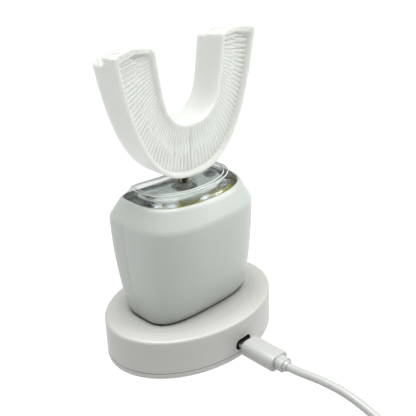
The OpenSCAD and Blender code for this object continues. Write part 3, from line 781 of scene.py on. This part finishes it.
def cover_inside(low):
    """Rings from the middle of the cover's ceiling down to its lower edge."""
    ceiling = SUNK_Z - 1.3
    return [plan_ring(shrink(TOP_PLAN, 7), ceiling), plan_ring(shrink(CLEAR_PLAN, 2.3), ceiling),
            plan_ring(shrink(CLEAR_PLAN, 1.7), RIM_Z - 0.4), plan_ring(shrink(CLEAR_PLAN, 1.7), low.z)]


def add_clear_cover():
    low, _ = cad("clear_top_cover")
    shell = hollow_shell("clear_shell", cover_outside(low), cover_inside(low), CLEAR_CREASE)
    screws = [(x, COVER_SCREW_Y) for x in (-COVER_SCREW_X, COVER_SCREW_X)]

    def add(name, centre, radius, z0, z1):
        carve(shell, rod(name, centre, radius, z0, z1), "UNION", CLEAR_CREASE)

    def cut(name, centre, radius, z0, z1):
        carve(shell, rod(name, centre, radius, z0, z1), crease=CLEAR_CREASE)
    add("boss", (0, 0), BOSS_R, low.z + 0.5, SUNK_Z + 0.8)
    for centre in screws:
        add("pillar", centre, PILLAR_R, low.z, SUNK_Z - 1.0)
    cut("bore", (0, 0), BORE_R, low.z - 1, CLEAR_Z + 2)
    for centre in screws:
        cut("shank", centre, SHANK_R, low.z - 1, CLEAR_Z + 1)
        cut("well", centre, HEAD_R, SUNK_Z - 1.2, SUNK_Z + 1)
    piece(shell, "handle", CLEAR, "clear_cover", "clear_top_cover")


def add_rim_beads():
    """The two edges of the raised rim as thin rounded beads: partly real reflection off their rounding,
    partly painted highlight in their paler, less clear finish, which shows them as thin bright lines.
    """
    angles = [TAU * k / BEAD_SIDES for k in range(BEAD_SIDES)]
    for number, (inset, height) in enumerate(RIM_BEADS):
        rings = [plan_ring(shrink(TOP_PLAN, inset + BEAD_R * math.cos(a)), height + BEAD_R * math.sin(a))
                 for a in angles]
        piece(band("rim_bead_%d" % number, rings), "handle", RIM_HIGHLIGHT_FINISH, "clear_cover")


def add_gasket():
    low, high = cad("cover_gasket")
    outer, inner = shrink(RIM_PLAN, LIP + 0.02), shrink(CLEAR_PLAN, -0.03)
    rings = [plan_ring(outer, low.z), plan_ring(outer, high.z - 0.1), plan_ring(shrink(outer, 0.1), high.z),
             plan_ring(inner, high.z), plan_ring(inner, low.z)]
    piece(band("gasket_band", rings), "handle", SEAL, "seal_rubber", "cover_gasket")


def add_light_lens():
    """The fan-shaped clear lens at the front left: a fluted block, wider at its front."""
    low, high = cad("light_guide")
    middle = (low.x + high.x) / 2
    outline = []
    for k in range(LENS_STEPS + 1):
        t = k / LENS_STEPS
        a = math.radians(200 + 140 * t)
        wave = 1 + 0.07 * math.cos(TAU * LENS_FLUTES * t)
        outline.append((LENS_A * wave * math.cos(a), LENS_B * wave * math.sin(a) + 2.2))
    outline += [(1.2, 3.4), (-1.2, 3.4)]
    rings = [[(middle + x, low.y + y, z) for x, y in outline] for z in (low.z + 0.05, high.z)]
    piece(loft("lens_fan", rings, 20), "handle", CLEAR, "clear_cover", "light_guide")


add_handle()
add_button()
add_clear_cover()
add_rim_beads()
add_gasket()
add_light_lens()


# ---------------------------------------------------------------- mouthpiece

TRAY_D = 15.0
TRAY_Z = 78.5
LEG_Z = 132.5
REAR_SHORT = 3.0
TRAY_WALL = 1.8
WEB = 3.2
DRAIN_Z = 89.6
DRAIN_R = 1.3
U_FULLNESS = 2.7
OUTER_U = (25.7, 50.0, 0.194, TRAY_Z)
INNER_U = (12.5, 17.2, 0.149, 101.0)
LEG_RISE = 2.6
END_WALL = 2.4
ARCH_START = 0.86  # share of a half's length after which the legs arch up
TRAY_CREASE = 50
# the insert's boss, as radius and height above the tray's lowest point, then above the insert's top
BOSS_FOOT = ((3.2, 0.3), (4.4, 1.2), (4.6, 3))
BOSS_HEAD = ((4.6, -1), (4.2, 0.5), (3.0, 1.3), (1.0, 1.6))
SOCKET_R = 2.92


def u_half(u, z):
    h = z - u[3]
    round_part = max(0.0, 1 - (1 - min(h / u[1], 1)) ** U_FULLNESS) ** (1 / U_FULLNESS)
    return u[0] * round_part + u[2] * h


def u_curve(u, samples=400):
    """Right half of a U-shaped curve from its lowest point up, as points evenly spread along it."""
    heights = [u[3] + (LEG_Z - u[3]) * (k / samples) ** U_FULLNESS for k in range(samples + 1)]
    raw = [(u_half(u, z), z) for z in heights]
    travelled = [0.0]
    for p, q in zip(raw, raw[1:]):
        travelled.append(travelled[-1] + math.dist(p, q))
    return raw, travelled


OUTER_CURVE = u_curve(OUTER_U)
INNER_CURVE = u_curve(INNER_U)


def along(curve, t):
    """The point at share t of a half curve's length; t below 0 is on the left half."""
    raw, travelled = curve
    goal = abs(t) * travelled[-1]
    k = 1
    while k < len(raw) - 1 and travelled[k] < goal:
        k += 1
    span = travelled[k] - travelled[k - 1]
    f = (goal - travelled[k - 1]) / span if span else 0.0
    x = raw[k - 1][0] + (raw[k][0] - raw[k - 1][0]) * f
    z = raw[k - 1][1] + (raw[k][1] - raw[k - 1][1]) * f
    return Vector((math.copysign(x, t), 0, z))


def station(t):
    """The line across the U at t: its outer end, its direction inwards and its length."""
    start, end = along(OUTER_CURVE, t), along(INNER_CURVE, t)
    return start, (end - start).normalized(), (end - start).length


def cross_section(width, trough):
    """Half of the H-shaped section, front side only, as (n from the outer face, y from the middle).
    trough is how far the trough's floor lies from the middle."""
    lip, wall = TRAY_D / 2, TRAY_WALL
    depth = lip - trough
    # down the inside of a wall, as (bulge from the wall, share of the way to the floor)
    face = [(0.0, 0.12), (0.28, 0.2), (0.0, 0.28), (0.28, 0.36), (0.0, 0.44), (0.1, 0.7), (0.35, 0.9),
            (1.0, 1.0)]
    # up the outside of a wall and over its rounded top, as (distance from the outer face, y)
    edge = [(0, 0), (0, WEB / 2), (0, lip - 3.5), (0, lip - 1.0), (0.12, lip - 0.4), (0.5, lip - 0.06),
            (0.9, lip)]
    half = edge + [(wall - 0.45, lip - 0.1)]
    half += [(wall + out, lip - depth * down) for out, down in face]
    half.append((width / 2, trough))
    half += [(width - wall - out, lip - depth * down) for out, down in reversed(face)]
    half.append((width - wall + 0.45, lip - 0.1))
    half += [(width - out, y) for out, y in reversed(edge)]
    return half


def tray_stations(count=72):
    """Shares along the U, left end to right end, close together at the end walls."""
    wall_share = END_WALL / along_length()
    spread = [(-1 + 2 * k / count) * (1 - wall_share * 1.5) for k in range(count + 1)]
    ends = [1 - wall_share * share for share in (1.2, 1.0, 0.85, 0.4, 0.12, 0.0)]
    return [-t for t in reversed(ends)] + spread + ends, wall_share


def along_length():
    return (OUTER_CURVE[1][-1] + INNER_CURVE[1][-1]) / 2


def arch_lift(t, share):
    """How far the tray rises at share of its width: near its ends the middle arches up."""
    return 4 * share * (1 - share) * (LEG_RISE * smooth_step((abs(t) - ARCH_START) / (1 - ARCH_START)))


def side_share(t, side):
    """Where the front (-1) or rear (1) half of the tray stands at share t: the rear legs end lower."""
    return t * (1 - REAR_SHORT / along_length()) if side > 0 else t


def tray_ring(t, wall_share):
    past = (abs(t) - (1 - wall_share)) / wall_share
    deep, shallow = WEB / 2, TRAY_D / 2 - 0.45
    trough = deep + (shallow - deep) * smooth_step(past / 0.15 + 0.5) if past > -0.2 else deep
    end_soft = 0.5 * smooth_step((abs(t) - 1 + wall_share * 0.12) / (wall_share * 0.12))
    points = []
    for side in (-1, 1):
        start, inward, width = station(side_share(t, side))
        half = cross_section(width, trough)
        for n, y in half if side < 0 else reversed(half[1:-1]):
            reach = y * (1 - end_soft / (TRAY_D / 2)) + (0.1 if side > 0 else 0.0)
            points.append(start + inward * n + Vector((0, side * reach, arch_lift(t, n / width))))
        if side < 0:
            # the front half's edges carry on to the rear face of the web
            points.append(start + inward * width + Vector((0, WEB / 2, 0)))
            first_edge = start + Vector((0, WEB / 2, 0))
    points.append(first_edge)
    return points


def add_tray():
    shares, wall_share = tray_stations()
    tray = loft("tray", [tray_ring(t, wall_share) for t in shares], TRAY_CREASE)
    _, high = cad("shaft_insert")
    profile = [(radius, TRAY_Z + z) for radius, z in BOSS_FOOT]
    profile += [(radius, high.z + z) for radius, z in BOSS_HEAD]
    carve(tray, lathe("boss", 0, 0, profile), "UNION", TRAY_CREASE)
    carve(tray, rod("socket", (0, 0), SOCKET_R, TRAY_Z - 2, high.z - 0.2), crease=TRAY_CREASE)
    carve(tray, bar_round("drain", -8, DRAIN_Z, DRAIN_R, 16), crease=TRAY_CREASE)
    piece(tray, "mouthpiece", SILICONE, "milky_silicone", "mouthpiece_tray")


BRISTLE_PITCH = 1.7
BRISTLE_R = 0.5
BRISTLE_SIDES = 8
BRISTLE_LAYERS = (2.3, 3.6, 4.8)  # distances of the rows from the middle of the tray
BRISTLE_PROFILE = ((0.0, 1.1), (0.15, 0.95), (0.6, 0.85), (0.93, 0.7), (1.0, 0.35))  # share, thickness
BRISTLE_SPAN = (0.52, 0.60)  # shortest and longest, as shares of the tray's width
BRISTLE_ROOT = 0.3  # how deep a finger stands in its wall
BRISTLE_SEED = 7


def bristle(start, end, points, faces, chance):
    """One finger that narrows to a rounded tip."""
    ahead = (end - start).normalized()
    side = ahead.cross(Vector((0, 1, 0))).normalized()
    rise = side.cross(ahead)
    bend = Vector((chance.uniform(-0.25, 0.25), chance.uniform(-0.25, 0.1), chance.uniform(-0.25, 0.25)))
    first = len(points)
    for share, size in BRISTLE_PROFILE:
        centre = start.lerp(end, share) + bend * share * share
        for k in range(BRISTLE_SIDES):
            a = TAU * k / BRISTLE_SIDES
            points.append(centre + BRISTLE_R * size * (math.cos(a) * side + math.sin(a) * rise))
    n = BRISTLE_SIDES
    last = len(BRISTLE_PROFILE) - 1
    own = ring_faces(n, last + 1, closed_ends=False) + [cap_face(n, last), cap_face(n, 0)]
    faces += [tuple(first + v for v in face) for face in own]


def bristle_ends(t, side, depth, from_inner, span):
    """Root and tip of a finger on the outer or the inner wall at share t."""
    start, inward, width = station(side_share(t, side))
    length = width * span
    root, tip, y = TRAY_WALL - BRISTLE_ROOT, length, depth - 0.2
    if from_inner:
        root, tip, y = width - TRAY_WALL + BRISTLE_ROOT, width - length, depth + 0.2
    return [start + inward * n + Vector((0, side * y, arch_lift(t, n / width))) for n in (root, tip)]


def bristle_shares():
    """Layer depth, share along the U and wall of every finger on one side of the tray."""
    half_count = int(along_length() / BRISTLE_PITCH) - 1
    reach = 1 - END_WALL * 1.5 / along_length()
    for layer, depth in enumerate(BRISTLE_LAYERS):
        for k in range(-half_count, half_count + 1):
            for from_inner in (False, True):
                shift = 0.5 if from_inner else 0.0
                t = (k + shift + 0.25 * layer) / half_count * reach
                if abs(t) <= reach:
                    yield depth, t, from_inner


def add_bristles():
    """Rows of fingers on both walls of both troughs, those on one wall between those on the other."""
    chance = random.Random(BRISTLE_SEED)
    for side, name in ((-1, "bristles_front"), (1, "bristles_rear")):
        points, faces = [], []
        for depth, t, from_inner in bristle_shares():
            root, tip = bristle_ends(t, side, depth, from_inner, chance.uniform(*BRISTLE_SPAN))
            if math.hypot(tip.x, tip.z - DRAIN_Z) > DRAIN_R + 0.5:
                bristle(root, tip, points, faces, chance)
        made = mesh_from(name, points, faces, crease=70)
        piece(made, "mouthpiece", BRISTLE, "milky_silicone")


add_tray()
add_bristles()


# ---------------------------------------------------------------- shaft collar

COLLAR_R, COLLAR_BORE_R = 2.2, 1.52
FLATS = 4
FLAT_START = -75  # degrees
FLAT_OUTLINE = ((2.0, -16), (2.28, -13), (2.28, 13), (2.0, 16))  # radius, degrees from its middle


def collar_flat(middle, z0, z1):
    rings = []
    for z in (z0, z1):
        ring = []
        for radius, sweep in FLAT_OUTLINE:
            b = middle + math.radians(sweep)
            ring.append((radius * math.cos(b), radius * math.sin(b), z))
        rings.append(ring)
    return loft("strip", rings, 20)


def add_collar():
    """Dark rubber collar with brass flats showing round it."""
    low, high = cad("shaft_collar")
    profile = tube_profile(COLLAR_R, COLLAR_BORE_R, low.z, high.z, 0.2)
    piece(lathe_ring("collar_sleeve", 0, 0, profile), "drive", COLLAR, "collar_black", "shaft_collar")
    middles = [math.radians(FLAT_START + 360 / FLATS * k) for k in range(FLATS)]
    flats = join("collar_flats", [collar_flat(a, low.z + 0.25, high.z - 0.2) for a in middles])
    piece(flats, "drive", BRASS, "shaft_brass")


add_collar()


# ---------------------------------------------------------------- CAD nodes that keep their shape

NODE_FINISH = {
    "base_feet": FOOT, "base_screws": SCREW, "base_circuit_board": BOARD, "base_ferrite_disc": FERRITE,
    # painted shade: the charging socket takes the black finish, standing for the shade deep in the port
    "transmit_coil": COPPER, "charging_socket": SWITCH, "bottom_cap": HANDLE_SHELL, "bottom_seal": SEAL,
    "cover_screws": SCREW, "deck_plate": DECK, "motor_plate": PLATE, "led_board": LIGHT_BOARD,
    "white_leds": WHITE_LIGHT, "blue_leds": BLUE_LIGHT, "chassis": CHASSIS, "motor_can": PLATED,
    "battery": SLEEVE,
    "main_circuit_board": BOARD, "button_switch": SWITCH, "receive_coil": COPPER,
    "handle_ferrite_disc": FERRITE, "shaft_bush": BRASS, "shaft_seal": SEAL, "button_stem": SEAL,
    "motor_rotor": ROTOR, "drive_shaft": SHAFT, "shaft_insert": BRASS, "plug_tip": PLATED,
    "supply_plug_shell": PLATED,
}

for node, finish in NODE_FINISH.items():
    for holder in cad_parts[node].material_slots:
        holder.link = "OBJECT"
        holder.material = finish


# ---------------------------------------------------------------- floor, light

FLOOR_HALF = 4000.0
LAMP_SIZE = 1.0
LAMP_AIM = (0, 0, 0.06)  # metres
LAMPS = [  # name, place in metres, power in watts
    ("overhead", (-0.1, -0.06, 1.3), 36.5),
    ("key", (0.9, -0.8, 0.75), 13.0),
    ("fill", (-0.95, 0.75, 0.55), 1.5)]
SKY = 0.10


def add_floor():
    """A lit white table, like the bare white ground of a product shot."""
    h = FLOOR_HALF
    floor = mesh_from("floor", [(-h, -h, 0), (h, -h, 0), (h, h, 0), (-h, h, 0)], [(0, 1, 2, 3)])
    floor.data.materials.append(FLOOR)


def add_softbox(name, place, size, power):
    data = bpy.data.lights.new(name, "AREA")
    data.shape = "SQUARE"
    data.size = size
    data.energy = power
    lamp = bpy.data.objects.new(name, data)
    aim = Vector(LAMP_AIM) - Vector(place)
    lamp.matrix_world = Matrix.Translation(place) @ aim.to_track_quat("-Z", "Y").to_matrix().to_4x4()
    bpy.context.collection.objects.link(lamp)


def add_light():
    """Dim sky all round, a large lamp overhead, one on the right and a weaker one on the left."""
    world = bpy.data.worlds.new("world")
    world.use_nodes = True
    world.node_tree.nodes["Background"].inputs["Color"].default_value = (1, 1, 1, 1)
    world.node_tree.nodes["Background"].inputs["Strength"].default_value = SKY
    bpy.context.scene.world = world
    for name, place, power in LAMPS:
        add_softbox(name, place, LAMP_SIZE, power)
    bpy.context.scene.view_settings.view_transform = "Standard"


add_floor()
add_light()
